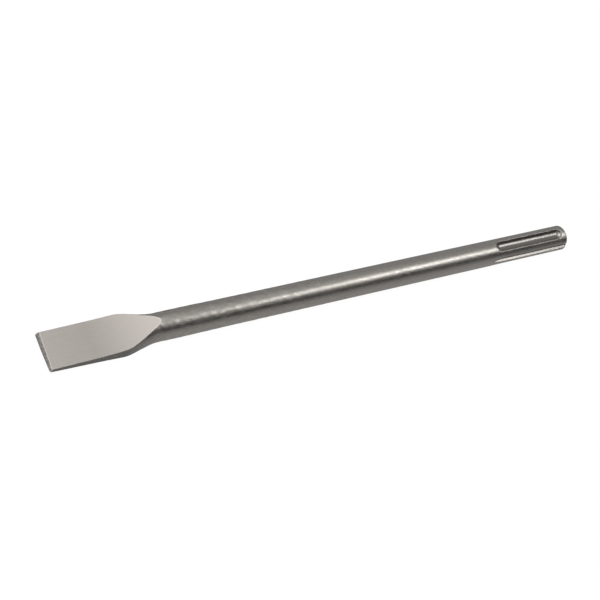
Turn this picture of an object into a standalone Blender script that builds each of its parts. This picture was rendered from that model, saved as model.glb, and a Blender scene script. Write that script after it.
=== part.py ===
"""Flat chisel with a grooved hammer shank, forged and ground from one round steel bar.

The bar lies along X. The struck end of the shank is at the origin and looks along +X, and the
cutting edge is at the far end, toward -X. The chisel lies on the floor as it comes to rest: on
the underside of the bar and on one lower corner of the blade, with +Z up.

Lengths are in metres, and angles are in degrees. Distances along the blade are counted from the
cutting edge.
"""

import math

import bmesh
import bpy

# Bar
TOTAL_LENGTH = 0.400
BAR_DIAMETER = 0.018
BUTT_CHAMFER = 0.0018

# Forged blade: a parallel part, then a flare that runs back into the round bar
BLADE_WIDTH = 0.0261
BLADE_PARALLEL_LENGTH = 0.0475
BLADE_CORNER_RADIUS = 0.0012
FLARE_LENGTH = 0.026
FORGED_THICKNESS = 0.0156
FORGED_SQUARENESS = 4.2

# Ground faces: a flat wedge behind the cutting edge, then the run-out of the wheel
WEDGE_THICKNESS = 0.00272
WEDGE_FACE_ANGLE = 2.8
FLAT_GRIND_LENGTH = 0.0305
GRINDING_WHEEL_RADIUS = 0.243

# Cutting edge
EDGE_BEVEL_LENGTH = 0.0025
EDGE_LAND_THICKNESS = 0.0003

# Two locking grooves, closed at both ends and opposite each other
LOCK_GROOVE_RADIUS = 0.0046
LOCK_GROOVE_DEPTH = 0.0026
LOCK_GROOVE_LENGTH = 0.0598
LOCK_GROOVE_SETBACK = 0.0048
LOCK_GROOVE_ROLL = 7.25

# Three driving grooves, open at the struck end: one alone, and a pair on the other side
DRIVE_GROOVE_LENGTH = 0.0705
DRIVE_GROOVE_DEPTH = 0.0018
DRIVE_GROOVE_FLOOR_WIDTH = 0.0017
DRIVE_GROOVE_FLANK_DRAFT = 31.0
DRIVE_GROOVE_RUNOUT = 0.006
DRIVE_PAIR_SPREAD = 45.2

# Steel, as it looks
STEEL_COLOUR = (0.45, 0.44, 0.42, 1.0)
STEEL_ROUGHNESS = 0.38
SHARP_EDGE_ANGLE = 28.0

# Fineness of the mesh
BAR_SIDES = 32
FLARE_STEPS = 16
CORNER_STEPS = 4
WHEEL_STEPS = 14
GROOVE_SIDES = 40
GROOVE_END_STEPS = 8
RUNOUT_STEPS = 6
ROLL_STEPS = 20
RUNOUT_OVERSHOOT = 1.1
CORNER_CLEARANCE = 0.00002
MERGE_DISTANCE = 0.000001

BAR_RADIUS = BAR_DIAMETER / 2
FLOOR_DEPTH = BAR_RADIUS * math.cos(math.pi / BAR_SIDES)
CUTTER_MARGIN = BAR_RADIUS
ROUND_SQUARENESS = 2.0
FLARE_MIDDLE = 0.5
HALF_TURN = 180.0
QUARTER_TURN = 90.0


def flare_share(distance):
    """How far the bar has turned into blade at this distance, from 0 on the bar to 1."""
    share = (BLADE_PARALLEL_LENGTH + FLARE_LENGTH - distance) / FLARE_LENGTH
    return min(max(share, 0.0), 1.0)


def half_width(distance):
    """Half the forging's width: the S-curve of the flare, and the round corners of the edge."""
    share = flare_share(distance)
    swell = share * share * (3.0 - 2.0 * share)
    width = BAR_RADIUS + (BLADE_WIDTH / 2 - BAR_RADIUS) * swell
    if distance < BLADE_CORNER_RADIUS:
        reach = BLADE_CORNER_RADIUS - distance
        width -= BLADE_CORNER_RADIUS - math.sqrt(BLADE_CORNER_RADIUS ** 2 - reach ** 2)
    return width


def section_radius(distance, angle):
    """Radius of the forging before grinding, at an angle in radians from +Y toward +Z.

    The hammer turns the round section of the bar into a squarish one, as a superellipse whose
    power rises toward the blade.
    """
    share = flare_share(distance)
    worked = share * share * (5.0 - 2.0 * share) / 3.0
    half_thickness = BAR_RADIUS + (FORGED_THICKNESS / 2 - BAR_RADIUS) * worked
    power = ROUND_SQUARENESS + (FORGED_SQUARENESS - ROUND_SQUARENESS) * worked
    across = abs(math.cos(angle) / half_width(distance)) ** power
    through = abs(math.sin(angle) / half_thickness) ** power
    return (across + through) ** (-1.0 / power)


def ground_height(distance):
    """Height of the ground face above the blade's middle plane."""
    height = WEDGE_THICKNESS / 2 + math.tan(math.radians(WEDGE_FACE_ANGLE)) * distance
    past_flat = distance - FLAT_GRIND_LENGTH
    if past_flat > 0.0:
        height += GRINDING_WHEEL_RADIUS - math.sqrt(GRINDING_WHEEL_RADIUS ** 2 - past_flat ** 2)
    return height


def grinding_end():
    """Distance at which the wheel has left the bar."""
    step = BAR_DIAMETER / 100
    distance = FLAT_GRIND_LENGTH
    while ground_height(distance) < BAR_RADIUS + step:
        distance += step
    return distance


def stations():
    """Distances at which the forging has a ring of points."""
    turns = [math.pi / 2 * i / CORNER_STEPS for i in range(CORNER_STEPS + 1)]
    corner = [BLADE_CORNER_RADIUS * (1.0 - math.cos(turn)) for turn in turns]
    flare_end = max(BLADE_PARALLEL_LENGTH + FLARE_LENGTH, grinding_end())
    step = (flare_end - BLADE_PARALLEL_LENGTH) / FLARE_STEPS
    return corner + [BLADE_PARALLEL_LENGTH + step * i for i in range(FLARE_STEPS + 1)]


def line_angles(roll):
    """Angles of the forging's long edges, with one flat side between two of them on the floor.

    They are counted from +Y toward +Z of the chisel itself, which is then rolled by this angle.
    """
    first = -math.pi / 2 - roll
    return [first + 2 * math.pi * (i + 0.5) / BAR_SIDES for i in range(BAR_SIDES)]


def forged_radii(distance, roll):
    """Radius of each long edge at this distance.

    Where the flare starts, its underside rises off the floor instead of bulging below the bar.
    """
    share = flare_share(distance)
    depth = FLOOR_DEPTH - (BAR_RADIUS - FORGED_THICKNESS / 2) * share
    radii = []
    for angle in line_angles(roll):
        radius = section_radius(distance, angle)
        down = -math.sin(angle + roll)
        if share < FLARE_MIDDLE and down > 0.0:
            radius = min(radius, depth / down)
        radii.append(radius)
    return radii


def ground_outline(distance, roll):
    """Points round the blade at this distance, as (y, z), once both its faces are ground."""
    radii = forged_radii(distance, roll)
    points = [(r * math.cos(a), r * math.sin(a)) for a, r in zip(line_angles(roll), radii)]
    height = ground_height(distance)
    outline = [point for point in points if abs(point[1]) <= height]
    for (y, z), (next_y, next_z) in zip(points, points[1:] + points[:1]):
        for level in (-height, height):
            if (z - level) * (next_z - level) < 0.0:
                outline.append((y + (next_y - y) * (level - z) / (next_z - z), level))
    return outline


def depth_below_axis(roll):
    """How far the ground blade reaches below the bar's axis when it is rolled by this angle."""
    deepest = 0.0
    blade = [distance for distance in stations() if flare_share(distance) > 0.0]
    for distance in blade:
        for y, z in ground_outline(distance, roll):
            deepest = max(deepest, -y * math.sin(roll) - z * math.cos(roll))
    return deepest


def resting_roll():
    """Roll about X at which a lower corner of the blade just meets the floor under the bar."""
    clear = 0.0
    blocked = math.pi / 4
    for _ in range(ROLL_STEPS):
        roll = (clear + blocked) / 2
        if depth_below_axis(roll) > FLOOR_DEPTH - CORNER_CLEARANCE:
            blocked = roll
        else:
            clear = roll
    return clear


def new_mesh(name, shape):
    """Turn a bmesh into a mesh whose faces point out."""
    bmesh.ops.recalc_face_normals(shape, faces=shape.faces)
    mesh = bpy.data.meshes.new(name)
    shape.to_mesh(mesh)
    shape.free()
    return mesh


def new_object(name, mesh, turn):
    """Put a mesh into the scene, turned about the bar's axis by an angle in radians."""
    result = bpy.data.objects.new(name, mesh)
    result.rotation_euler.x = turn
    bpy.context.scene.collection.objects.link(result)
    return result


def loft(rings):
    """Skin rings that hold the same number of points, and cap both ends."""
    shape = bmesh.new()
    loops = [[shape.verts.new(point) for point in points] for points in rings]
    for near, far in zip(loops, loops[1:]):
        for i in range(len(near)):
            j = (i + 1) % len(near)
            shape.faces.new((near[i], near[j], far[j], far[i]))
    shape.faces.new(loops[0])
    shape.faces.new(reversed(loops[-1]))
    return shape


def ring(x, angles, radii):
    """Points round the bar's axis at one place along it."""
    return [(x, r * math.cos(a), r * math.sin(a)) for a, r in zip(angles, radii)]


def forging(roll):
    """The bar with its blade drawn out under the hammer, before grinding and milling.

    Its long edges are set so that one flat side lies on the floor once it is rolled to rest.
    """
    angles = line_angles(roll)
    rings = []
    for distance in stations():
        rings.append(ring(distance - TOTAL_LENGTH, angles, forged_radii(distance, roll)))
    behind_grooves = -DRIVE_GROOVE_LENGTH - BAR_DIAMETER
    rings.append(ring(behind_grooves, angles, [BAR_RADIUS] * BAR_SIDES))
    rings.append(ring(-BUTT_CHAMFER, angles, [BAR_RADIUS] * BAR_SIDES))
    rings.append(ring(0.0, angles, [BAR_RADIUS - BUTT_CHAMFER] * BAR_SIDES))
    return new_mesh("chisel", loft(rings))


def grinding_cutter():
    """What the wheel takes off the upper face, from the cutting edge to its run-out on the bar."""
    reach = grinding_end() + CUTTER_MARGIN
    top = ground_height(reach) + CUTTER_MARGIN
    outline = [
        (-CUTTER_MARGIN, top),
        (-CUTTER_MARGIN, EDGE_LAND_THICKNESS / 2),
        (0.0, EDGE_LAND_THICKNESS / 2),
        (EDGE_BEVEL_LENGTH, ground_height(EDGE_BEVEL_LENGTH)),
    ]
    for i in range(WHEEL_STEPS + 1):
        distance = FLAT_GRIND_LENGTH + (reach - FLAT_GRIND_LENGTH) * i / WHEEL_STEPS
        outline.append((distance, ground_height(distance)))
    outline.append((reach, top))
    side = BLADE_WIDTH / 2 + CUTTER_MARGIN
    shape = bmesh.new()
    face = shape.faces.new([shape.verts.new((d - TOTAL_LENGTH, -side, z)) for d, z in outline])
    grown = bmesh.ops.extrude_face_region(shape, geom=[face])
    far = [item for item in grown["geom"] if isinstance(item, bmesh.types.BMVert)]
    bmesh.ops.translate(shape, verts=far, vec=(0.0, 2 * side, 0.0))
    return new_mesh("grinding_cutter", shape)


def lock_groove_cutter():
    """The path of a ball-ended milling cutter along X, turned about its own axis."""
    lift = BAR_RADIUS - LOCK_GROOVE_DEPTH + LOCK_GROOVE_RADIUS
    run_out = math.sqrt(LOCK_GROOVE_RADIUS ** 2 - (LOCK_GROOVE_RADIUS - LOCK_GROOVE_DEPTH) ** 2)
    front = -LOCK_GROOVE_SETBACK - run_out
    back = -LOCK_GROOVE_SETBACK - LOCK_GROOVE_LENGTH + run_out
    turns = [math.pi / 2 * i / GROOVE_END_STEPS for i in range(GROOVE_END_STEPS + 1)]
    profile = []
    for turn in turns:
        profile.append((back - LOCK_GROOVE_RADIUS * math.cos(turn), LOCK_GROOVE_RADIUS * math.sin(turn)))
    for turn in turns:
        profile.append((front + LOCK_GROOVE_RADIUS * math.sin(turn), LOCK_GROOVE_RADIUS * math.cos(turn)))
    shape = bmesh.new()
    points = [shape.verts.new((x, 0.0, lift + radius)) for x, radius in profile]
    edges = [shape.edges.new(pair) for pair in zip(points, points[1:])]
    bmesh.ops.spin(
        shape,
        geom=points + edges,
        cent=(0.0, 0.0, lift),
        axis=(1.0, 0.0, 0.0),
        angle=2 * math.pi,
        steps=GROOVE_SIDES,
        use_merge=True,
    )
    bmesh.ops.remove_doubles(shape, verts=shape.verts, dist=MERGE_DISTANCE)
    return new_mesh("lock_groove_cutter", shape)


def drive_groove_cutter():
    """A slot with slanting flanks along X, whose floor rises out of the bar at its inner end."""
    arc = (DRIVE_GROOVE_RUNOUT ** 2 + DRIVE_GROOVE_DEPTH ** 2) / (2 * DRIVE_GROOVE_DEPTH)
    places = [(CUTTER_MARGIN, 0.0)]
    for i in range(RUNOUT_STEPS + 1):
        past = DRIVE_GROOVE_RUNOUT * RUNOUT_OVERSHOOT * i / RUNOUT_STEPS
        rise = arc - math.sqrt(arc ** 2 - past ** 2)
        places.append((DRIVE_GROOVE_RUNOUT - DRIVE_GROOVE_LENGTH - past, rise))
    top = BAR_RADIUS + CUTTER_MARGIN / 2
    bottom = DRIVE_GROOVE_FLOOR_WIDTH / 2
    rings = []
    for x, rise in places:
        floor = BAR_RADIUS - DRIVE_GROOVE_DEPTH + rise
        wide = bottom + (top - floor) * math.tan(math.radians(DRIVE_GROOVE_FLANK_DRAFT))
        rings.append([(x, -bottom, floor), (x, bottom, floor), (x, wide, top), (x, -wide, top)])
    return new_mesh("drive_groove_cutter", loft(rings))


def cutters():
    """Each cutter's name, its mesh, and its turn about the bar's axis."""
    grind = grinding_cutter()
    lock = lock_groove_cutter()
    drive = drive_groove_cutter()
    pair = LOCK_GROOVE_ROLL + QUARTER_TURN
    return [
        ("grind_upper", grind, 0.0),
        ("grind_lower", grind, HALF_TURN),
        ("mill_lock_groove_upper", lock, LOCK_GROOVE_ROLL),
        ("mill_lock_groove_lower", lock, LOCK_GROOVE_ROLL + HALF_TURN),
        ("mill_drive_groove_single", drive, LOCK_GROOVE_ROLL - QUARTER_TURN),
        ("mill_drive_groove_pair_upper", drive, pair - DRIVE_PAIR_SPREAD / 2),
        ("mill_drive_groove_pair_lower", drive, pair + DRIVE_PAIR_SPREAD / 2),
    ]


def cut(body, name, cutter):
    """Take a cutter away from the body."""
    cutter.hide_render = True
    cutter.display_type = "WIRE"
    modifier = body.modifiers.new(name, "BOOLEAN")
    modifier.operation = "DIFFERENCE"
    modifier.solver = "EXACT"
    modifier.object = cutter


def steel():
    """Bare grey steel."""
    material = bpy.data.materials.new("steel")
    material.use_nodes = True
    shader = material.node_tree.nodes["Principled BSDF"]
    shader.inputs["Base Color"].default_value = STEEL_COLOUR
    shader.inputs["Metallic"].default_value = 1.0
    shader.inputs["Roughness"].default_value = STEEL_ROUGHNESS
    return material


def main():
    for item in list(bpy.data.objects):
        bpy.data.objects.remove(item, do_unlink=True)
    roll = resting_roll()
    body = new_object("chisel", forging(roll), roll)
    body.data.materials.append(steel())
    for name, mesh, turn in cutters():
        cut(body, name, new_object(name, mesh, math.radians(turn) + roll))
    body.data.shade_smooth()
    body.data.set_sharp_from_angle(angle=math.radians(SHARP_EDGE_ANGLE))


main()
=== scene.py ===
"""Looks of the flat chisel: a forged and ground blade, a round bar and a grooved hammer shank.

The chisel is one forging, so one piece stands for its one solid. Its surface is the forging's
section, less what the grinding wheel, the lathe and the milling cutters take away, with every
edge softened a little. The mesh is that surface, found along lines that run from the cutting
edge to the struck end.

Lengths are in metres, and angles are in degrees unless a name says otherwise. The chisel's own
axes are X along the bar toward the struck end, Y across the blade and Z square to its faces.
The finished piece is rolled about X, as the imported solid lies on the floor.
"""

from __future__ import annotations

import logging
import math
from collections.abc import Mapping, Sequence
from dataclasses import dataclass, field
from enum import Enum
from typing import Any, Protocol

import bpy
import numpy as np
from mathutils import Matrix, Vector


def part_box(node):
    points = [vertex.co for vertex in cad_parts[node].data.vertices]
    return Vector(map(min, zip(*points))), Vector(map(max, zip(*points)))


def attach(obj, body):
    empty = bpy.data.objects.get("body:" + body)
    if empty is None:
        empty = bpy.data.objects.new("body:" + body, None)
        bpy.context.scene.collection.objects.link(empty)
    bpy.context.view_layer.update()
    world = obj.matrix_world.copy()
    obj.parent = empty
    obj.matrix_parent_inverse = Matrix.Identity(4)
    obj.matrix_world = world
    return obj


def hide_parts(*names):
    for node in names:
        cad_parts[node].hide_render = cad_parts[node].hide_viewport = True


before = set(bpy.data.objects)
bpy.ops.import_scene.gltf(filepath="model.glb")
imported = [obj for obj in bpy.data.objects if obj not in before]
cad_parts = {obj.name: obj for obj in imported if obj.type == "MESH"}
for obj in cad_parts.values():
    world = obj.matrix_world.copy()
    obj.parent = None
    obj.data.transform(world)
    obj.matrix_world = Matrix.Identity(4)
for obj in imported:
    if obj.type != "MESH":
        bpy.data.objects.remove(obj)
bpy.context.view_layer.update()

Array = np.ndarray
Span = tuple[float, float]
Place = tuple[float, float, float]
Colour = tuple[float, float, float]

FULL_TURN = 2.0 * math.pi
SMALLEST_RADIUS = 1e-6
ANGLE_SAMPLES = 7201
WHITE: Colour = (1.0, 1.0, 1.0)

log = logging.getLogger("flat_chisel")


def smooth_step(value: Array, low: Array | float, high: Array | float) -> Array:
    """Rise smoothly from 0 at low to 1 at high."""
    share = np.clip((value - low) / (high - low), 0.0, 1.0)
    return share * share * (3.0 - 2.0 * share)


def smooth_max(first: Array, second: Array, blend: Array | float) -> Array:
    """Take the larger value, rounded where the two differ by less than blend.

    Args:
        first: One set of values.
        second: The other set.
        blend: Width of the rounding, in the same unit.

    Returns:
        The larger of the two, or a little more near where they are equal.
    """
    near = np.maximum(blend - np.abs(first - second), 0.0) / blend
    return np.maximum(first, second) + near * near * blend / 4.0


def smooth_min(first: Array, second: Array, blend: float) -> Array:
    """Take the smaller value, rounded where the two differ by less than blend."""
    return -smooth_max(-first, -second, blend)


def left_by(first: Array, second: Array, blend: Array | float) -> Array:
    """Share of the surface that the first tool leaves and not the second."""
    return smooth_step(first - second, -blend, blend)


def rim_between(first: Array, second: Array, reach: Array | float) -> Array:
    """Share of the rim between what two tools leave: 1 on the rim, and 0 past its reach."""
    return 1.0 - smooth_step(np.abs(first - second), 0.0, reach)


@dataclass(frozen=True)
class Points:
    """Points in the chisel's own axes."""

    x: Array
    y: Array
    z: Array

    @property
    def radius(self) -> Array:
        """Distance of each point from the bar's axis."""
        return np.hypot(self.y, self.z)

    @property
    def angle(self) -> Array:
        """Angle of each point about the axis, in radians from +Y toward +Z."""
        return np.arctan2(self.z, self.y)

    def rolled(self, roll: float) -> Points:
        """Turn the points about the bar's axis.

        Args:
            roll: The angle, from +Y toward +Z.

        Returns:
            The points in their new places.
        """
        cosine, sine = math.cos(math.radians(roll)), math.sin(math.radians(roll))
        return Points(self.x, self.y * cosine - self.z * sine, self.y * sine + self.z * cosine)

    def followed_by(self, other: Points) -> Points:
        """These rows of points, and the other rows after them."""
        pairs = (self.x, other.x), (self.y, other.y), (self.z, other.z)
        return Points(*(np.concatenate(pair) for pair in pairs))

    def first(self, count: int) -> Points:
        """The first points of the rows, as one row."""
        return Points(*(axis.reshape(-1)[:count] for axis in (self.x, self.y, self.z)))


class Tool(Protocol):
    """Something that shapes the chisel: a wheel, a lathe or a cutter."""

    def excess(self, at: Points) -> Array:
        """How far points lie in what is taken away: positive there, negative in the steel."""


@dataclass(frozen=True)
class Ripple:
    """A wave over a surface: its rate along it, its turns round the bar and its start."""

    rate: float
    turns: float = 0.0
    start: float = 0.0
    wander: float = 0.0
    wander_rate: float = 90.0

    def at(self, along: Array, angle: Array | float = 0.0) -> Array:
        """Height of the wave, from -1 to 1."""
        wander = self.wander * np.sin(self.wander_rate * along)
        return np.sin(self.rate * along + self.turns * angle + self.start + wander)


@dataclass(frozen=True)
class Forging:
    """The bar with its blade drawn out under the hammer.

    A span gives the distances from the cutting edge between which something sets in or ends.
    """

    length: float
    bar_radius: float
    blade_half_width: float = 0.01315
    parallel_length: float = 0.0485
    flare_length: float = 0.0258
    blade_half_thickness: float = 0.0078
    squareness: float = 4.2
    squaring_power: int = 3
    corner_radius: float = 0.0012
    mark_depth: float = 0.00009
    broad_marks: tuple[Ripple, Ripple] = (Ripple(410.0, 2.0), Ripple(170.0, -3.0, 1.3))
    fine_marks: tuple[Ripple, ...] = (Ripple(730.0, 5.0, 0.7), Ripple(1130.0, -7.0, wander=2.0))
    fine_mark_share: float = 0.8
    marks_begin: Span = (0.04, 0.07)
    marks_fade: Span = (0.12, 0.26)
    faded_share: float = 0.85
    marks_end: Span = (0.27, 0.32)
    swell_height: float = 0.00017
    swell_begins: Span = (0.068, 0.082)
    swell_ends: Span = (0.09, 0.125)

    def worked(self, along: Array) -> Array:
        """How far the bar has turned into blade at a distance from the cutting edge."""
        share = (self.parallel_length + self.flare_length - along) / self.flare_length
        return np.clip(share, 0.0, 1.0)

    def half_width(self, along: Array) -> Array:
        """Work out half the width of the section.

        Args:
            along: Distances from the cutting edge.

        Returns:
            The half widths, with the S-curve of the flare and the round corners of the edge.
        """
        flare = smooth_step(self.worked(along), 0.0, 1.0)
        width = self.bar_radius + (self.blade_half_width - self.bar_radius) * flare
        reach = np.maximum(self.corner_radius - along, 0.0)
        corner = self.corner_radius - np.sqrt(self.corner_radius ** 2 - reach ** 2)
        return width - corner

    def flattening(self, along: Array) -> tuple[Array, Array]:
        """Work out how flat and how square the section is.

        Args:
            along: Distances from the cutting edge.

        Returns:
            Half the thickness of the section, and the power of its superellipse.
        """
        struck = self.worked(along) ** self.squaring_power
        thickness = self.bar_radius + (self.blade_half_thickness - self.bar_radius) * struck
        return thickness, 2.0 + (self.squareness - 2.0) * struck

    def section_radius(self, along: Array, angle: Array) -> Array:
        """Work out the radius of the section.

        Args:
            along: Distances from the cutting edge.
            angle: Angles about the axis, in radians.

        Returns:
            The radius at each angle.
        """
        thickness, power = self.flattening(along)
        across = np.abs(np.cos(angle) / self.half_width(along)) ** power
        through = np.abs(np.sin(angle) / thickness) ** power
        return (across + through) ** (-1.0 / power)

    def half_chord(self, along: Array, height: Array) -> Array:
        """Work out half the width of the section above or below its middle.

        Args:
            along: Distances from the cutting edge.
            height: Heights above the middle plane.

        Returns:
            The half widths at those heights, and 0 past the top of the section.
        """
        thickness, power = self.flattening(along)
        inside = np.clip(1.0 - (height / thickness) ** power, 0.0, 1.0)
        return self.half_width(along) * inside ** (1.0 / power)

    def dents(self, at: Points) -> Array:
        """Work out the shallow marks of the hammer, deepest round the neck of the blade.

        Args:
            at: Points near the surface.

        Returns:
            How far the marks and the swollen neck stand out of the section there.
        """
        along, angle = at.x + self.length, at.angle
        reach = smooth_step(along, *self.marks_begin)
        reach = reach * (1.0 - self.faded_share * smooth_step(along, *self.marks_fade))
        reach = reach * (1.0 - smooth_step(along, *self.marks_end))
        first, second = self.broad_marks
        wave = first.at(along, angle) * second.at(along, angle)
        for ripple in self.fine_marks:
            wave = wave + self.fine_mark_share * ripple.at(along, angle)
        highest = 1.0 + self.fine_mark_share * len(self.fine_marks)
        swell = smooth_step(along, *self.swell_begins)
        swell = swell * (1.0 - smooth_step(along, *self.swell_ends))
        return self.mark_depth * reach * wave / highest + self.swell_height * swell

    def excess(self, at: Points) -> Array:
        """How far points lie outside the forging."""
        surface = self.section_radius(at.x + self.length, at.angle)
        return at.radius - surface - self.dents(at)


@dataclass(frozen=True)
class GroundFaces:
    """The two faces of the blade: a flat wedge, then the run-out of the grinding wheel.

    The slope is that of the wedge, and the mean lean that of the whole face with its run-out,
    which turns heights above a face into distances from it.
    """

    length: float
    half_thickness: float = 0.0016
    slope: float = 2.25
    mean_lean: float = 4.5
    flat_length: float = 0.0305
    wheel_radius: float = 0.2165

    def height(self, along: Array) -> Array:
        """Work out the height of a face above the blade's middle plane.

        Args:
            along: Distances from the cutting edge.

        Returns:
            The heights: a straight slope, then the arc of the wheel on top of it.
        """
        past = np.clip(along - self.flat_length, 0.0, self.wheel_radius)
        arc = self.wheel_radius - np.sqrt(self.wheel_radius ** 2 - past ** 2)
        return self.half_thickness + math.tan(math.radians(self.slope)) * along + arc

    def excess(self, at: Points) -> Array:
        """How far points lie above the upper face or below the lower one."""
        lean = math.cos(math.radians(self.mean_lean))
        return (np.abs(at.z) - self.height(at.x + self.length)) * lean


@dataclass(frozen=True)
class EdgeBevel:
    """The short steep bevels that meet in the cutting edge."""

    length: float
    bevel_length: float = 0.0019
    bevel_height: float = 0.001675
    unevenness: float = 18.0
    land: float = 0.0003
    nick_depth: float = 0.00005
    chatter: tuple[Ripple, Ripple] = (Ripple(5200.0), Ripple(2100.0, start=1.0))
    waviness: Ripple = Ripple(900.0, start=2.0)

    def excess(self, at: Points) -> Array:
        """Work out how far points lie outside the bevels or past the cutting edge.

        The bevels are ground by hand, so they are a little longer at one end of the edge. The
        two kinds of nick add up to a wave from -2 to 2.

        Args:
            at: The points.

        Returns:
            The distances, positive in what the grinding takes away.
        """
        low = self.land / 2.0
        along = at.x + self.length
        rise = (self.bevel_height - low) / (self.bevel_length * (1.0 + self.unevenness * at.y))
        first, second = self.chatter
        wave = first.at(at.y) * second.at(at.y) + self.waviness.at(at.y)
        rough = self.nick_depth * (wave + 2.0) / 4.0
        bevel = (np.abs(at.z) - low - rise * along + rough) / np.hypot(1.0, rise)
        return smooth_max(bevel, rough - along, low)


@dataclass(frozen=True)
class StruckEnd:
    """The turned end of the shank: a flat face inside a chamfer."""

    bar_radius: float
    chamfer: float = 0.0018
    blend: float = 0.0004

    def excess(self, at: Points) -> Array:
        """How far points lie outside the chamfer or past the face."""
        cone = (at.radius - self.bar_radius + at.x + self.chamfer) / math.sqrt(2.0)
        return smooth_max(cone, at.x, self.blend)


@dataclass(frozen=True)
class LockGroove:
    """A locking groove, closed at both ends, as a ball-ended cutter leaves it."""

    bar_radius: float
    direction: float
    cutter_radius: float = 0.0048
    depth: float = 0.0027
    groove_length: float = 0.0598
    setback: float = 0.0048
    lip_inset: float = 0.4
    crowd_spread: float = 2.2

    @property
    def axis_distance(self) -> float:
        """Distance of the cutter's centre from the bar's axis."""
        return self.bar_radius - self.depth + self.cutter_radius

    @property
    def path(self) -> Span:
        """Work out the cutter's path.

        Returns:
            Where its centre starts and stops along X.
        """
        drop = self.cutter_radius - self.depth
        run_out = math.sqrt(self.cutter_radius ** 2 - drop ** 2)
        return run_out - self.setback - self.groove_length, -self.setback - run_out

    @property
    def lips(self) -> list[Span]:
        """Angles that the mesh lines crowd about, each with its spread."""
        lip = math.degrees(math.asin(self.cutter_radius / self.axis_distance)) - self.lip_inset
        return [(self.direction + side * lip, self.crowd_spread) for side in (-1.0, 1.0)]

    def excess(self, at: Points) -> Array:
        """Work out how far points lie inside the cutter.

        Args:
            at: The points.

        Returns:
            The distances, positive in the groove.
        """
        facing = at.rolled(-self.direction)
        past = at.x - np.clip(at.x, *self.path)
        out = facing.y - self.axis_distance
        return self.cutter_radius - np.sqrt(past ** 2 + out ** 2 + facing.z ** 2)


@dataclass(frozen=True)
class DriveGroove:
    """A driving groove, open at the struck end, with slanting flanks and a rising inner end.

    Its lean says to which side the inner end tapers: 0 to the middle, 1 or -1 to one flank.
    """

    bar_radius: float
    direction: float
    lean: float = 0.0
    groove_length: float = 0.0705
    depth: float = 0.0020
    floor_width: float = 0.0015
    flank_draft: float = 31.0
    run_out: float = 0.013
    fillet: float = 0.0004
    lip: float = 12.3
    crowd_spread: float = 1.8

    @property
    def lips(self) -> list[Span]:
        """Angles that the mesh lines crowd about, each with its spread."""
        return [(self.direction + side * self.lip, self.crowd_spread) for side in (-1.0, 1.0)]

    def floor(self, x: Array) -> Array:
        """Work out the distance of the groove's floor from the bar's axis.

        Args:
            x: Places along the bar.

        Returns:
            The distances: even, then along an arc out of the bar at the inner end.
        """
        arc = (self.run_out ** 2 + self.depth ** 2) / (2.0 * self.depth)
        past = np.clip(self.run_out - self.groove_length - x, 0.0, arc)
        return self.bar_radius - self.depth + arc - np.sqrt(arc ** 2 - past ** 2)

    def excess(self, at: Points) -> Array:
        """Work out how far points lie inside the cutter.

        Args:
            at: The points.

        Returns:
            The distances, positive in the groove.
        """
        facing = at.rolled(-self.direction)
        draft = math.radians(self.flank_draft)
        floor = self.floor(at.x)
        full = np.clip((self.bar_radius - floor) / self.depth, 0.0, 1.0)
        out = facing.y - floor
        side = np.abs(facing.z - self.lean * self.depth * (1.0 - full) * math.tan(draft))
        reach = self.floor_width / 2.0 * full ** 2 + out * math.tan(draft)
        return smooth_min(out, (reach - side) * math.cos(draft), self.fillet)


@dataclass(frozen=True)
class Stretch:
    """A stretch of the chisel, in distances from the cutting edge, with even mesh stations."""

    start: float
    stop: float
    step: float

    def stations(self) -> Array:
        """The stations, without the one at the stretch's end."""
        count = max(1, round((self.stop - self.start) / self.step))
        return np.linspace(self.start, self.stop, count, endpoint=False)


class Mask(Enum):
    """Shares of a finish, or of a painted highlight, that the mesh carries at each point, under these
    names.
    """

    HAMMERED = "hammered_share"
    # Share of the blade's sides, which are coloured darker than the bar.
    DARK_SIDES = "dark_side_share"
    GROUND = "ground_share"
    BEVEL = "bevel_share"
    # Share of the milled grooves, whose colour also carries painted shade.
    MILLED_SHADED = "milled_shaded_share"
    TURNED = "turned_share"
    # Share of a painted highlight: a light colour on rims and edges in place of the lamps' glint.
    PAINTED_HIGHLIGHT = "painted_highlight_share"


@dataclass(frozen=True)
class FinishAndHighlight:
    """Where the finishes of the steel set in or end, and how bright the highlights painted on its rims
    are.

    A span gives the two places between which a share rises. Along the bar they are distances
    from the cutting edge, or X near the struck end; across the blade they are distances from
    its middle toward -Y; and a turn says how sharply a face meets the forging.
    """

    rim_reach: float = 0.0003
    face_rim_reach: float = 0.0005
    hammered_ends: Span = (0.08, 0.30)
    dark_side_turn: Span = (0.55, 0.9)
    fine_bevel_begins: Span = (0.002, 0.011)
    fine_bevel_share: float = 0.8
    # The shines are painted highlights: a light colour on lips, the struck end, the drive grooves'
    # run-out, the blade's near corner and the lock grooves' outer end.
    lip_shine: float = 0.4
    end_shine: float = 0.3
    run_out_ends: Span = (-0.0575, -0.0665)
    run_out_shine: float = 0.9
    corner_begins: Span = (0.0086, 0.0116)
    corner_ends: Span = (0.0014, 0.0024)
    corner_shine: float = 0.85
    outer_begins: Span = (-0.0085, -0.0066)
    outer_lip_reach: float = 0.0006
    outer_lip_shine: float = 0.8
    outer_wall_shine: float = 0.55


def crowded_angles(count: int, crowds: Sequence[Span], pull: float) -> Array:
    """Spread lines round the bar, crowded about some angles.

    Args:
        count: How many lines there are.
        crowds: Angles, each with the spread of the crowd about it.
        pull: How much closer the lines are there than elsewhere.

    Returns:
        Angles in radians, rising from 0.
    """
    fine = np.linspace(0.0, 360.0, ANGLE_SAMPLES)
    density = np.ones_like(fine)
    for centre, spread in crowds:
        away = (fine - centre + 180.0) % 360.0 - 180.0
        density += pull * np.exp(-((away / spread) ** 2))
    total = np.concatenate([[0.0], np.cumsum((density[1:] + density[:-1]) / 2.0)])
    wanted = np.arange(count) / count * total[-1]
    return np.radians(np.interp(wanted, total, fine))


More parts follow.
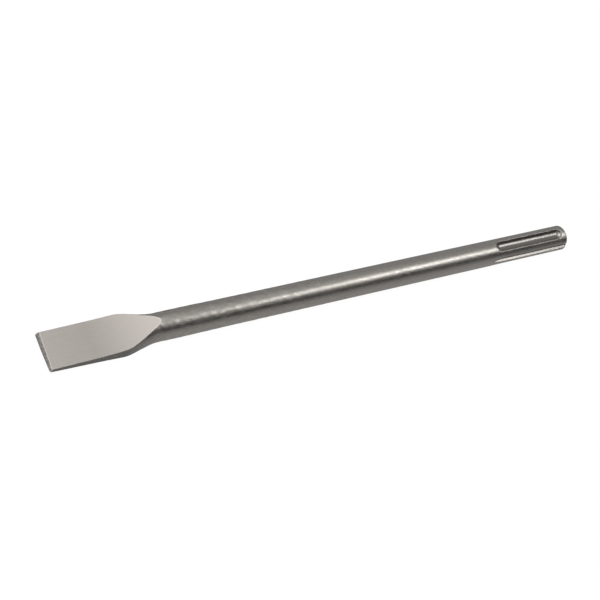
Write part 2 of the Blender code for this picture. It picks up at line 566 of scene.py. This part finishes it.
@dataclass
class ChiselBody:
    """The whole chisel as one piece, from the cutting edge to the struck end.

    The blade's and the shank's stations list where each stretch of the mesh ends and its step:
    the blade's from the cutting edge, the shank's back from the struck end. A round is the width
    of an edge's rounding. The clearance keeps the underside just above the floor.
    """

    length: float
    bar_radius: float = 0.009
    resting_roll: float = 20.3635
    clearance: float = 0.00001
    groove_roll: float = 7.25
    pair_spread: float = 45.2
    edge_round: float = 0.00028
    lip_round: float = 0.0003
    bevel_round: float = 0.0002
    least_turn: float = 0.2
    lines: int = 272
    first_station: float = 0.00002
    blade_stations: tuple[Span, ...] = (
        (0.0032, 0.00026), (0.0475, 0.0015), (0.068, 0.0008), (0.0775, 0.0003),
        (0.085, 0.0009), (0.20, 0.0016), (0.325, 0.0036),
    )
    shank_stations: tuple[Span, ...] = (
        (0.0705, 0.0014), (0.0650, 0.0004), (0.0634, 0.0001), (0.0600, 0.0003),
        (0.0092, 0.0018), (0.0062, 0.0002), (0.0046, 0.0001), (0.0022, 0.0005), (0.0, 0.00014),
    )
    end_rings: tuple[float, ...] = (0.985, 0.94, 0.82, 0.62, 0.36, 0.0)
    face_edge_spread: float = 3.2
    face_edge_pull: float = 9.0
    groove_pull: float = 3.0
    steepest: float = 4.0
    blade_lines_end: Span = (0.0775, 0.12)
    shank_lines_begin: Span = (0.10, 0.31)
    solve_steps: int = 34
    farthest: float = 0.016
    finish_and_highlight: FinishAndHighlight = FinishAndHighlight()
    forging: Forging = field(init=False)
    faces: GroundFaces = field(init=False)
    bevel: EdgeBevel = field(init=False)
    struck_end: StruckEnd = field(init=False)
    lock_grooves: list[LockGroove] = field(init=False)
    drive_grooves: list[DriveGroove] = field(init=False)

    def __post_init__(self) -> None:
        """Set up the tools that shape the steel."""
        self.forging = Forging(self.length, self.bar_radius)
        self.faces = GroundFaces(self.length)
        self.bevel = EdgeBevel(self.length)
        self.struck_end = StruckEnd(self.bar_radius)
        upper = 90.0 + self.groove_roll
        self.lock_grooves = [
            LockGroove(self.bar_radius, direction) for direction in (upper, upper + 180.0)
        ]
        pair = upper + 90.0
        self.drive_grooves = [
            DriveGroove(self.bar_radius, upper - 90.0),
            DriveGroove(self.bar_radius, pair - self.pair_spread / 2.0, lean=1.0),
            DriveGroove(self.bar_radius, pair + self.pair_spread / 2.0, lean=-1.0),
        ]

    def stations(self) -> Array:
        """Work out where the rings of the mesh lie, closest where the surface turns most.

        Returns:
            Distances from the cutting edge.
        """
        shank = [(self.length - back, step) for back, step in self.shank_stations]
        start, found = self.first_station, []
        for stop, step in (*self.blade_stations, *shank):
            found.append(Stretch(start, stop, step).stations())
            start = stop
        return np.concatenate([*found, [self.length - self.first_station]])

    def directions(self, along: Array) -> Array:
        """Work out the angle of each line at each station.

        On the blade the lines keep to the edges of the ground faces. On the shank they crowd
        about the grooves, and on the plain bar they pass from one to the other.

        Args:
            along: Distances of the stations from the cutting edge.

        Returns:
            Angles in radians, a row for each station.
        """
        face_edges = [(45.0 + 90.0 * quarter, self.face_edge_spread) for quarter in range(4)]
        on_blade = crowded_angles(self.lines, face_edges, self.face_edge_pull)
        lips = [lip for groove in (*self.lock_grooves, *self.drive_grooves) for lip in groove.lips]
        on_shank = crowded_angles(self.lines, lips, self.groove_pull)
        height = self.faces.height(along)
        chord = np.maximum(self.forging.half_chord(along, height), height / self.steepest)
        steepness = np.minimum(height / chord, self.steepest)
        steepness = steepness ** (1.0 - smooth_step(along, *self.blade_lines_end))
        leaning = np.arctan2(steepness[:, None] * np.sin(on_blade), np.cos(on_blade))
        leaning = leaning % FULL_TURN
        leaning[:, 0] = 0.0
        share = smooth_step(along, *self.shank_lines_begin)[:, None]
        return leaning * (1.0 - share) + on_shank * share

    def turn(self, at: Points) -> Array:
        """How sharply a ground face meets the forging, from least on the axis to 1 at the sides."""
        away = np.maximum(at.radius, SMALLEST_RADIUS)
        return np.maximum(np.abs(at.y) / away, self.least_turn)

    def excess(self, at: Points) -> Array:
        """Work out how far points lie outside the finished steel.

        Args:
            at: The points.

        Returns:
            The distances, negative inside the steel.
        """
        steps: list[tuple[Tool, Array | float]] = [
            (self.faces, self.edge_round * self.turn(at)),
            (self.bevel, self.bevel_round),
            (self.struck_end, self.lip_round),
            *((groove, self.lip_round) for groove in self.lock_grooves),
            *((groove, self.lip_round) for groove in self.drive_grooves),
        ]
        solid = self.forging.excess(at)
        for tool, rounding in steps:
            solid = smooth_max(solid, tool.excess(at), rounding)
        return solid

    def surface(self) -> Points:
        """Find the surface along every line by halving.

        Returns:
            Points on a grid, a row for each station.
        """
        along = self.stations()
        angle = self.directions(along)
        x = np.broadcast_to((along - self.length)[:, None], angle.shape)
        inside = np.full(angle.shape, SMALLEST_RADIUS)
        outside = np.full(angle.shape, self.farthest)
        for _ in range(self.solve_steps):
            middle = (inside + outside) / 2.0
            cut = self.excess(Points(x, middle * np.cos(angle), middle * np.sin(angle))) > 0.0
            outside = np.where(cut, middle, outside)
            inside = np.where(cut, inside, middle)
        return Points(x, inside * np.cos(angle), inside * np.sin(angle))

    def masks(self, at: Points) -> dict[Mask, Array]:
        """Work out each finish's share of the surface, from which tool leaves it, and where highlights
        are painted.

        Args:
            at: Points on the surface.

        Returns:
            The shares at the points, from 0 to 1.
        """
        finish_and_highlight, turn, along = self.finish_and_highlight, self.turn(at), at.x + self.length
        forged = self.forging.excess(at)
        faces = self.faces.excess(at)
        bevel = self.bevel.excess(at)
        end = self.struck_end.excess(at)
        drive = np.max([groove.excess(at) for groove in self.drive_grooves], axis=0)
        lock = np.max([groove.excess(at) for groove in self.lock_grooves], axis=0)
        cut = np.maximum(drive, lock)
        blend = finish_and_highlight.rim_reach / 2.0
        ground = left_by(np.maximum(faces, bevel), forged, blend * turn)
        bevelled = left_by(bevel, faces, blend) * ground
        fine_bevel = finish_and_highlight.fine_bevel_share * smooth_step(-at.y, *finish_and_highlight.fine_bevel_begins)
        milled_and_shaded = left_by(cut, np.maximum(forged, end), blend)
        run_out = left_by(drive, forged, blend) * smooth_step(at.x, *finish_and_highlight.run_out_ends)
        corner = smooth_step(-at.y, *finish_and_highlight.corner_begins)
        corner = corner * (1.0 - smooth_step(along, *finish_and_highlight.corner_ends)) * (1.0 - ground + bevelled)
        outer_lip = rim_between(lock, forged, finish_and_highlight.outer_lip_reach) * finish_and_highlight.outer_lip_shine
        outer_wall = left_by(lock, forged, blend) * finish_and_highlight.outer_wall_shine
        # Painted highlights: a light colour on the rims of the faces, lips and struck end, on the
        # run-out, the blade's corner and the lock grooves' outer end.
        painted_highlights = [
            rim_between(faces, forged, finish_and_highlight.face_rim_reach * turn) * (1.0 - bevelled),
            rim_between(cut, forged, finish_and_highlight.rim_reach) * finish_and_highlight.lip_shine,
            rim_between(end, forged, finish_and_highlight.rim_reach) * finish_and_highlight.end_shine,
            run_out * finish_and_highlight.run_out_shine,
            corner * finish_and_highlight.corner_shine,
            smooth_step(at.x, *finish_and_highlight.outer_begins) * np.maximum(outer_lip, outer_wall),
        ]
        return {
            Mask.HAMMERED: 1.0 - smooth_step(along, *finish_and_highlight.hammered_ends),
            Mask.DARK_SIDES: smooth_step(turn, *finish_and_highlight.dark_side_turn) * self.forging.worked(along),
            Mask.GROUND: ground,
            Mask.BEVEL: bevelled * (1.0 - fine_bevel),
            Mask.MILLED_SHADED: milled_and_shaded,
            Mask.TURNED: left_by(end, forged, blend) * (1.0 - milled_and_shaded),
            Mask.PAINTED_HIGHLIGHT: np.max(painted_highlights, axis=0),
        }

    def struck_face(self, rim: Points) -> Points:
        """Rings of points that fill the struck face, from its rim inward to a centre."""
        shrink = np.array(self.end_rings)[:, None]
        return Points(np.zeros((len(shrink), self.lines)), rim.y * shrink, rim.z * shrink)

    def faces_of(self, rows: int) -> list[tuple[int, ...]]:
        """List the mesh's faces, by the numbers of their points.

        Args:
            rows: How many rings of points there are, before the single centre point.

        Returns:
            Quads between the rings, strips over the cutting edge and a fan on the struck face.
        """
        lines = self.lines
        found: list[tuple[int, ...]] = []
        for row in range(rows - 1):
            for line in range(lines):
                here, beside = row * lines + line, row * lines + (line + 1) % lines
                found.append((here, beside, beside + lines, here + lines))
        for line in range(lines // 2):
            over = (line, (lines - line) % lines, lines - line - 1, line + 1)
            found.append(tuple(dict.fromkeys(over)))
        last, centre = (rows - 1) * lines, rows * lines
        for line in range(lines):
            found.append((last + line, last + (line + 1) % lines, centre))
        return found

    def build(self) -> bpy.types.Object:
        """Make the chisel's mesh, with its masks, and set it down as the solid lies.

        Returns:
            The new piece.
        """
        skin = self.surface()
        rim = Points(skin.x[-1], skin.y[-1], skin.z[-1])
        rings = skin.followed_by(self.struck_face(rim))
        rows = len(rings.x) - 1
        at = rings.first(rows * self.lines + 1)
        laid = at.rolled(self.resting_roll)
        height = np.maximum(laid.z, self.clearance - self.bar_radius)
        corners = np.stack([laid.x, laid.y, height], axis=1)
        mesh = bpy.data.meshes.new("chisel_body")
        mesh.from_pydata(corners.tolist(), [], self.faces_of(rows))
        for mask, share in self.masks(at).items():
            layer = mesh.attributes.new(mask.value, "FLOAT", "POINT")
            layer.data.foreach_set("value", share.astype(np.float32))
        mesh.validate()
        mesh.shade_smooth()
        piece = bpy.data.objects.new("chisel_body", mesh)
        bpy.context.scene.collection.objects.link(piece)
        return piece

    def dress(self, piece: bpy.types.Object, steel: bpy.types.Material) -> None:
        """Give the piece its steel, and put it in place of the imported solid.

        Args:
            piece: The chisel.
            steel: Its material.
        """
        piece.data.materials.append(steel)
        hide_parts("chisel")
        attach(piece, "root")


class Ray(Enum):
    """Kinds of light ray, as the Light Path node names them."""

    CAMERA = "Is Camera Ray"
    GLOSSY = "Is Glossy Ray"
    TRANSMISSION = "Is Transmission Ray"


class Mix(Enum):
    """What a Mix node mixes: its data type, and the places of its two inputs and its output."""

    NUMBERS = ("FLOAT", 2, 3, 0)
    COLOURS = ("RGBA", 6, 7, 2)


class Value:
    """A number, colour or vector on its way to a socket, so that maths reads as an expression."""

    def __init__(self, tree: NodeTree, socket: bpy.types.NodeSocket) -> None:
        """Wrap a socket of a node tree."""
        self.tree = tree
        self.socket = socket

    def _maths(self, operation: str, *terms: Feed) -> Value:
        """Add a Math node."""
        return self.tree.node("ShaderNodeMath", {"operation": operation}, terms)

    def __add__(self, other: Feed) -> Value:
        """Add."""
        return self._maths("ADD", self, other)

    def __sub__(self, other: Feed) -> Value:
        """Subtract."""
        return self._maths("SUBTRACT", self, other)

    def __mul__(self, other: Feed) -> Value:
        """Multiply."""
        return self._maths("MULTIPLY", self, other)

    def __truediv__(self, other: Feed) -> Value:
        """Divide."""
        return self._maths("DIVIDE", self, other)

    def __rsub__(self, other: Feed) -> Value:
        """Subtract from a number."""
        return self._maths("SUBTRACT", other, self)

    def __rtruediv__(self, other: Feed) -> Value:
        """Divide a number by this."""
        return self._maths("DIVIDE", other, self)

    __radd__ = __add__
    __rmul__ = __mul__

    def rising(self, low: float, high: float) -> Value:
        """Rise smoothly from 0 at low to 1 at high."""
        feeds = {"Value": self, "From Min": low, "From Max": high}
        return self.tree.node("ShaderNodeMapRange", {"interpolation_type": "SMOOTHSTEP"}, feeds)


Feed = Value | float | tuple[float, ...]
Feeds = Mapping[int | str, Feed] | Sequence[Feed]


class NodeTree:
    """A material's or the world's nodes, made one at a time."""

    def __init__(self, tree: bpy.types.NodeTree) -> None:
        """Start from an empty tree."""
        self.tree = tree
        tree.nodes.clear()

    def add(
        self, kind: str, settings: Mapping[str, Any] | None = None, feeds: Feeds = ()
    ) -> bpy.types.Node:
        """Add a node.

        Args:
            kind: The node's type.
            settings: Its properties, which are set first.
            feeds: Values or links for its sockets, by place or by name.

        Returns:
            The new node.
        """
        made = self.tree.nodes.new(kind)
        for name, setting in (settings or {}).items():
            setattr(made, name, setting)
        pairs = feeds.items() if isinstance(feeds, Mapping) else enumerate(feeds)
        for place, feed in pairs:
            if isinstance(feed, Value):
                self.tree.links.new(feed.socket, made.inputs[place])
            else:
                made.inputs[place].default_value = feed
        return made

    def node(
        self,
        kind: str,
        settings: Mapping[str, Any] | None = None,
        feeds: Feeds = (),
        output: int | str = 0,
    ) -> Value:
        """Add a node and hand back one of its outputs, by place or by name."""
        return Value(self, self.add(kind, settings, feeds).outputs[output])

    def mix(self, kind: Mix, share: Feed, first: Feed, second: Feed) -> Value:
        """Mix two numbers or two colours.

        Args:
            kind: What they are.
            share: Share of the second one.
            first: The one at a share of 0.
            second: The one at a share of 1.

        Returns:
            The mixture.
        """
        data_type, first_place, second_place, output = kind.value
        feeds = {"Factor": share, first_place: first, second_place: second}
        return self.node("ShaderNodeMix", {"data_type": data_type}, feeds, output)

    def mask(self, mask: Mask) -> Value:
        """Read one of the mesh's masks."""
        settings = {"attribute_type": "GEOMETRY", "attribute_name": mask.value}
        return self.node("ShaderNodeAttribute", settings, output="Fac")

    def ray(self, ray: Ray) -> Value:
        """Say whether the light is of a kind: 1 where it is, and 0 otherwise."""
        return self.node("ShaderNodeLightPath", output=ray.value)

    def stretched(self, at: Value, stretch: Place) -> Value:
        """Multiply coordinates along each axis."""
        return self.node("ShaderNodeVectorMath", {"operation": "MULTIPLY"}, (at, stretch))

    def reach(self, at: Value, direction: Place) -> Value:
        """How far coordinates reach in a direction."""
        feeds = (at, direction)
        return self.node("ShaderNodeVectorMath", {"operation": "DOT_PRODUCT"}, feeds, "Value")

    def noise(self, at: Value, scale: float, detail: float, roughness: float) -> Value:
        """Noise from 0 to 1 at coordinates."""
        feeds = {"Vector": at, "Scale": scale, "Detail": detail, "Roughness": roughness}
        return self.node("ShaderNodeTexNoise", {"noise_dimensions": "3D"}, feeds)


def shaded(colour: Colour, share: float) -> tuple[float, float, float, float]:
    """A colour made lighter or darker by a share, as a socket takes it."""
    red, green, blue = colour
    return red * share, green * share, blue * share, 1.0


@dataclass(frozen=True)
class SteelFinish:
    """How one kind of machined or forged steel looks.

    The grain is noise, drawn out by the stretch along X, Y and Z: the smaller the number, the
    longer the marks run that way. Shading is how much darker its low marks are than the colour,
    and lighter its high ones. Flecks are brighter by their share, and none where that is 0.
    """

    colour: Colour
    roughness: float
    roughness_spread: float
    shading: float
    grain_scale: float
    grain_stretch: Place
    grain_height: float
    grain_detail: float = 3.0
    grain_roughness: float = 0.6
    grain_mean: float = 0.5
    grain_shades: Span = (0.3, 0.7)
    flecks: float = 0.0
    fleck_scale: float = 1100.0
    fleck_stretch: Place = (0.6, 1.0, 1.0)
    fleck_detail: float = 1.0
    fleck_roughness: float = 0.5
    fleck_begins: Span = (0.66, 0.74)

    def tint(self, tree: NodeTree, at: Value, grain: Value) -> Value:
        """Make the steel's colour.

        Args:
            tree: The material's nodes.
            at: Coordinates on the chisel.
            grain: Marks of the tool there.

        Returns:
            The colour, a little darker in the low marks, with bright flecks here and there.
        """
        dark = shaded(self.colour, 1.0 - self.shading)
        light = shaded(self.colour, 1.0 + self.shading)
        tint = tree.mix(Mix.COLOURS, grain.rising(*self.grain_shades), dark, light)
        if not self.flecks:
            return tint
        spread = tree.stretched(at, self.fleck_stretch)
        spots = tree.noise(spread, self.fleck_scale, self.fleck_detail, self.fleck_roughness)
        bright = shaded(self.colour, 1.0 + self.flecks)
        return tree.mix(Mix.COLOURS, spots.rising(*self.fleck_begins), tint, bright)

    def layer(self, tree: NodeTree, at: Value) -> tuple[Value, Value, Value]:
        """Make the finish.

        Args:
            tree: The material's nodes.
            at: Coordinates on the chisel.

        Returns:
            Its colour, its roughness and the height of its marks.
        """
        spread = tree.stretched(at, self.grain_stretch)
        grain = tree.noise(spread, self.grain_scale, self.grain_detail, self.grain_roughness)
        polish = self.roughness + (grain - self.grain_mean) * self.roughness_spread
        return self.tint(tree, at, grain), polish, grain * self.grain_height


@dataclass(frozen=True)
class ChiselSteel:
    """The whole chisel's steel: blasted bar, ground faces, rough bevel and milled grooves, with
    painted highlights on its rims and painted shade in its grooves.
    """

    forged: SteelFinish = SteelFinish(
        colour=(0.360, 0.341, 0.317), roughness=0.37, roughness_spread=0.45, shading=0.08,
        grain_scale=1100.0, grain_stretch=(0.35, 1.0, 1.0), grain_height=2.6, flecks=0.3,
    )
    hammered: SteelFinish = SteelFinish(
        colour=(0.366, 0.345, 0.319), roughness=0.36, roughness_spread=0.24, shading=0.12,
        grain_scale=650.0, grain_stretch=(0.3, 1.0, 1.0), grain_height=4.2, flecks=0.6,
    )
    # A darker colour on the blade's forged sides.
    dark_sides: SteelFinish = SteelFinish(
        colour=(0.185, 0.175, 0.164), roughness=0.38, roughness_spread=0.30, shading=0.20,
        grain_scale=1100.0, grain_stretch=(0.4, 1.0, 1.0), grain_height=2.5, flecks=0.9,
    )
    ground: SteelFinish = SteelFinish(
        colour=(0.419, 0.388, 0.361), roughness=0.40, roughness_spread=0.08, shading=0.03,
        grain_scale=1400.0, grain_stretch=(0.03, 1.0, 1.0), grain_height=0.35,
    )
    bevelled: SteelFinish = SteelFinish(
        colour=(0.368, 0.350, 0.328), roughness=0.50, roughness_spread=0.20, shading=0.30,
        grain_scale=900.0, grain_stretch=(0.6, 1.0, 0.6), grain_height=5.0, flecks=0.8,
    )
    # Milled finish of the grooves, its colour darkened as painted shade in the recesses.
    milled_and_shaded: SteelFinish = SteelFinish(
        colour=(0.248, 0.234, 0.218), roughness=0.30, roughness_spread=0.15, shading=0.04,
        grain_scale=1200.0, grain_stretch=(0.08, 1.0, 1.0), grain_height=0.3,
    )
    turned: SteelFinish = SteelFinish(
        colour=(0.345, 0.328, 0.306), roughness=0.34, roughness_spread=0.15, shading=0.05,
        grain_scale=1500.0, grain_stretch=(1.0, 0.3, 0.3), grain_height=0.4,
    )
    # A painted highlight: a light colour on rims and edges that stands in for the glint of the lamps.
    painted_highlight: SteelFinish = SteelFinish(
        colour=(0.66, 0.63, 0.58), roughness=0.38, roughness_spread=0.05, shading=0.15,
        grain_scale=1200.0, grain_stretch=(1.0, 1.0, 1.0), grain_height=0.3,
    )
    bump_distance: float = 0.00002

    def overlays(self) -> list[tuple[SteelFinish, Mask]]:
        """The finishes over the forged bar's, and last the painted highlight, each with its mask, from
        the lowest up.
        """
        return [
            (self.hammered, Mask.HAMMERED),
            (self.dark_sides, Mask.DARK_SIDES),
            (self.ground, Mask.GROUND),
            (self.bevelled, Mask.BEVEL),
            (self.milled_and_shaded, Mask.MILLED_SHADED),
            (self.turned, Mask.TURNED),
            (self.painted_highlight, Mask.PAINTED_HIGHLIGHT),
        ]

    def material(self) -> bpy.types.Material:
        """Make the material.

        Returns:
            One steel whose finish follows the masks of the mesh.
        """
        material = bpy.data.materials.new("chisel_steel")
        material.use_nodes = True
        tree = NodeTree(material.node_tree)
        at = tree.node("ShaderNodeTexCoord", output="Object")
        colour, polish, height = self.forged.layer(tree, at)
        for finish, mask in self.overlays():
            share = tree.mask(mask)
            over_colour, over_polish, over_height = finish.layer(tree, at)
            colour = tree.mix(Mix.COLOURS, share, colour, over_colour)
            polish = tree.mix(Mix.NUMBERS, share, polish, over_polish)
            height = tree.mix(Mix.NUMBERS, share, height, over_height)
        marks = {"Strength": 1.0, "Distance": self.bump_distance, "Height": height}
        bump = tree.node("ShaderNodeBump", {}, marks)
        steel = {"Base Color": colour, "Roughness": polish, "Metallic": 1.0, "Normal": bump}
        shader = tree.node("ShaderNodeBsdfPrincipled", {}, steel)
        tree.add("ShaderNodeOutputMaterial", {}, {"Surface": shader})
        return material


@dataclass(frozen=True)
class Softbox:
    """A square studio lamp with a soft, even face."""

    name: str
    place: Place
    aim: Place
    size: Span
    power: float

    def build(self) -> None:
        """Hang the lamp and turn it to its aim."""
        lamp = bpy.data.lights.new(self.name, "AREA")
        lamp.shape = "RECTANGLE"
        lamp.size, lamp.size_y = self.size
        lamp.energy = self.power
        hung = bpy.data.objects.new(self.name, lamp)
        hung.location = self.place
        away = Vector(self.place) - Vector(self.aim)
        hung.rotation_euler = away.to_track_quat("Z", "Y").to_euler()
        bpy.context.scene.collection.objects.link(hung)


@dataclass(frozen=True)
class Studio:
    """A white table under softboxes, in a pale room that is dark toward the front.

    To the eye the table and the room are plain white. Mirrored in the steel, the table is a
    pool of light under the chisel, which fades to both sides, and the room is graded: dark
    where it is in front and low.
    """

    table_height: float
    table_half_size: float = 3.0
    table_paint: float = 0.8
    table_glow: float = 1.05
    glow_to_camera: float = 0.93
    glow_to_steel: float = 0.6
    pool_strength: float = 0.66
    pool_reach: float = 0.04
    room_light: float = 0.46
    front_light: float = 0.02
    front_begins: Span = (0.1, 0.5)
    front_top: Span = (0.3, 0.55)
    softboxes: tuple[Softbox, ...] = (
        Softbox(
            name="key_softbox", place=(0.765, -0.679, 1.108), aim=(0.765, 0.0, 0.0),
            size=(0.47, 0.42), power=5.4,
        ),
        Softbox(
            name="neck_softbox", place=(0.34, -0.55, 1.18), aim=(0.34, 0.0, 0.0),
            size=(0.36, 0.34), power=0.22,
        ),
        Softbox(
            name="top_softbox", place=(-0.66, 0.12, 1.3), aim=(-0.66, 0.12, 0.0),
            size=(1.0, 0.9), power=5.0,
        ),
        Softbox(
            name="fill_softbox", place=(0.3, 0.0, 1.3), aim=(0.3, 0.0, 0.0),
            size=(0.5, 1.0), power=0.55,
        ),
    )

    def table(self) -> None:
        """Lay the table, white to the eye and with the chisel's shadow on it."""
        side, height = self.table_half_size, self.table_height
        corners = [(x * side, y * side, height) for x, y in ((-1, -1), (1, -1), (1, 1), (-1, 1))]
        mesh = bpy.data.meshes.new("table")
        mesh.from_pydata(corners, [], [(0, 1, 2, 3)])
        mesh.materials.append(self.table_material())
        table = bpy.data.objects.new("table", mesh)
        bpy.context.scene.collection.objects.link(table)

    def table_material(self) -> bpy.types.Material:
        """Make the table's material.

        Returns:
            White paint with a glow over it, which differs between the eye and the steel.
        """
        material = bpy.data.materials.new("table_white")
        material.use_nodes = True
        tree = NodeTree(material.node_tree)
        mirrored = tree.ray(Ray.GLOSSY)
        seen = tree.ray(Ray.CAMERA) + tree.ray(Ray.TRANSMISSION)
        share = seen * self.glow_to_camera + mirrored * self.glow_to_steel
        at = tree.node("ShaderNodeTexCoord", output="Object")
        across = tree.node("ShaderNodeSeparateXYZ", {}, (at,), "Y") / self.pool_reach
        lit = self.pool_strength / (1.0 + across * across)
        pool = tree.mix(Mix.COLOURS, lit, shaded(WHITE, 0.0), shaded(WHITE, 1.0))
        light = tree.mix(Mix.COLOURS, mirrored, shaded(WHITE, self.table_glow), pool)
        paint = tree.node("ShaderNodeBsdfDiffuse", {}, {"Color": shaded(WHITE, self.table_paint)})
        glow = tree.node("ShaderNodeEmission", {}, {"Color": light, "Strength": 1.0})
        both = tree.node("ShaderNodeMixShader", {}, (share, paint, glow))
        tree.add("ShaderNodeOutputMaterial", {}, {"Surface": both})
        return material

    def room(self) -> None:
        """Light the room: white to the eye, and graded by direction for everything else."""
        world = bpy.data.worlds.new("pale_room")
        bpy.context.scene.world = world
        world.use_nodes = True
        tree = NodeTree(world.node_tree)
        toward = tree.node("ShaderNodeTexCoord", output="Generated")
        front = tree.reach(toward, (0.0, -1.0, 0.0)).rising(*self.front_begins)
        high = tree.reach(toward, (0.0, 0.0, 1.0)).rising(*self.front_top)
        room, dark = shaded(WHITE, self.room_light), shaded(WHITE, self.front_light)
        graded = tree.mix(Mix.COLOURS, front * (1.0 - high), room, dark)
        seen = tree.ray(Ray.CAMERA) + tree.ray(Ray.TRANSMISSION)
        light = tree.mix(Mix.COLOURS, seen, graded, shaded(WHITE, 1.0))
        glow = tree.node("ShaderNodeBackground", {}, {"Color": light, "Strength": 1.0})
        tree.add("ShaderNodeOutputWorld", {}, {"Surface": glow})

    def build(self) -> None:
        """Set up the table, the room and the lamps."""
        self.table()
        self.room()
        for softbox in self.softboxes:
            softbox.build()


@dataclass(frozen=True)
class PhotoCamera:
    """The photograph's camera: its place, a point that it looks at, and its tilt."""

    place: Place = (-0.63756, -0.56260, 0.50637)
    aim: Place = (-0.22345, -0.00189, -0.00227)
    tilt: float = -10.854
    lens_millimetres: float = 79.47
    sensor_millimetres: float = 36.0
    clip: Span = (0.01, 20.0)

    def build(self) -> None:
        """Set up the camera and make it the scene's."""
        camera = bpy.data.cameras.new("photo_camera")
        camera.sensor_width = self.sensor_millimetres
        camera.lens = self.lens_millimetres
        camera.clip_start, camera.clip_end = self.clip
        held = bpy.data.objects.new("photo_camera", camera)
        away = Vector(self.place) - Vector(self.aim)
        level = away.to_track_quat("Z", "Y").to_matrix().to_4x4()
        turn = Matrix.Rotation(math.radians(-self.tilt), 4, "Z")
        held.matrix_world = Matrix.Translation(self.place) @ level @ turn
        bpy.context.scene.collection.objects.link(held)
        bpy.context.scene.camera = held


def main() -> None:
    """Build the chisel, the studio and the camera."""
    logging.basicConfig(level=logging.INFO, format="%(name)s: %(message)s")
    low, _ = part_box("chisel")
    chisel = ChiselBody(length=-low.x)
    piece = chisel.build()
    chisel.dress(piece, ChiselSteel().material())
    log.info("%s: %d points, %d faces", piece.name, len(piece.data.vertices), len(piece.data.polygons))
    Studio(table_height=-chisel.bar_radius).build()
    PhotoCamera().build()
    bpy.context.scene.view_settings.view_transform = "Standard"


if __name__ == "__main__":
    main()
